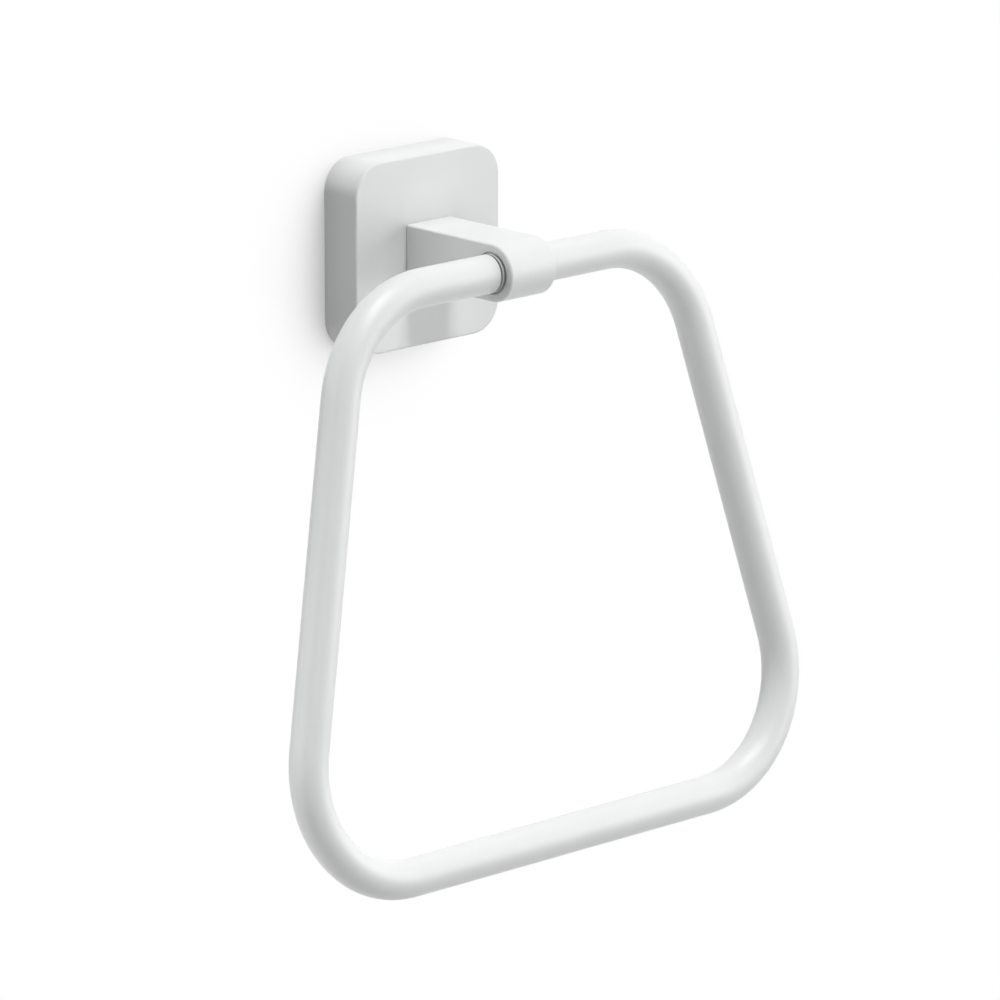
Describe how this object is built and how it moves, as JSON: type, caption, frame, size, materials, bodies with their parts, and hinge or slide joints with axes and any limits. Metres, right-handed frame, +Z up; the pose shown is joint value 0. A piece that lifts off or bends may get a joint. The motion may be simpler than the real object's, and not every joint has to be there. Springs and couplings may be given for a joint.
{
  "type": "towel ring",
  "caption": "Wall-mounted towel ring: square cover plate, square arm with a rounded nose, and a trapezoid ring of round bar that swings in it.",
  "frame": {"origin": "on the wall plane, midway between the bracket's two screw slots, which is also the middle of the cover plate's back", "axes": "+Z up along the wall, -Y out of the wall towards the room, +X to the right seen from the room"},
  "size_m": [0.1946, 0.0732, 0.1938],
  "materials": {
    "white_paint": "satin white powder coat",
    "bracket_steel": "plain stainless sheet",
    "screw_steel": "turned stainless steel",
    "sleeve_plastic": "pale grey low-friction plastic"
  },
  "bodies": {
    "root": {"wall_bracket": "bracket_steel", "cover_plate": "white_paint", "locking_screw": "screw_steel", "arm": "white_paint", "arm_screw": "screw_steel", "arm_washer": "screw_steel", "sleeve_left": "sleeve_plastic", "sleeve_right": "sleeve_plastic", "keeper_screw": "screw_steel"},
    "ring": {"towel_ring": "white_paint", "ring_joiner": "screw_steel"}
  },
  "joints": [
    {"name": "ring_swing", "type": "hinge", "parent": "root", "child": "ring", "pos_m": [0, -0.048, 0], "axis": [1, 0, 0], "range_deg": [-188, 22]}
  ]
}
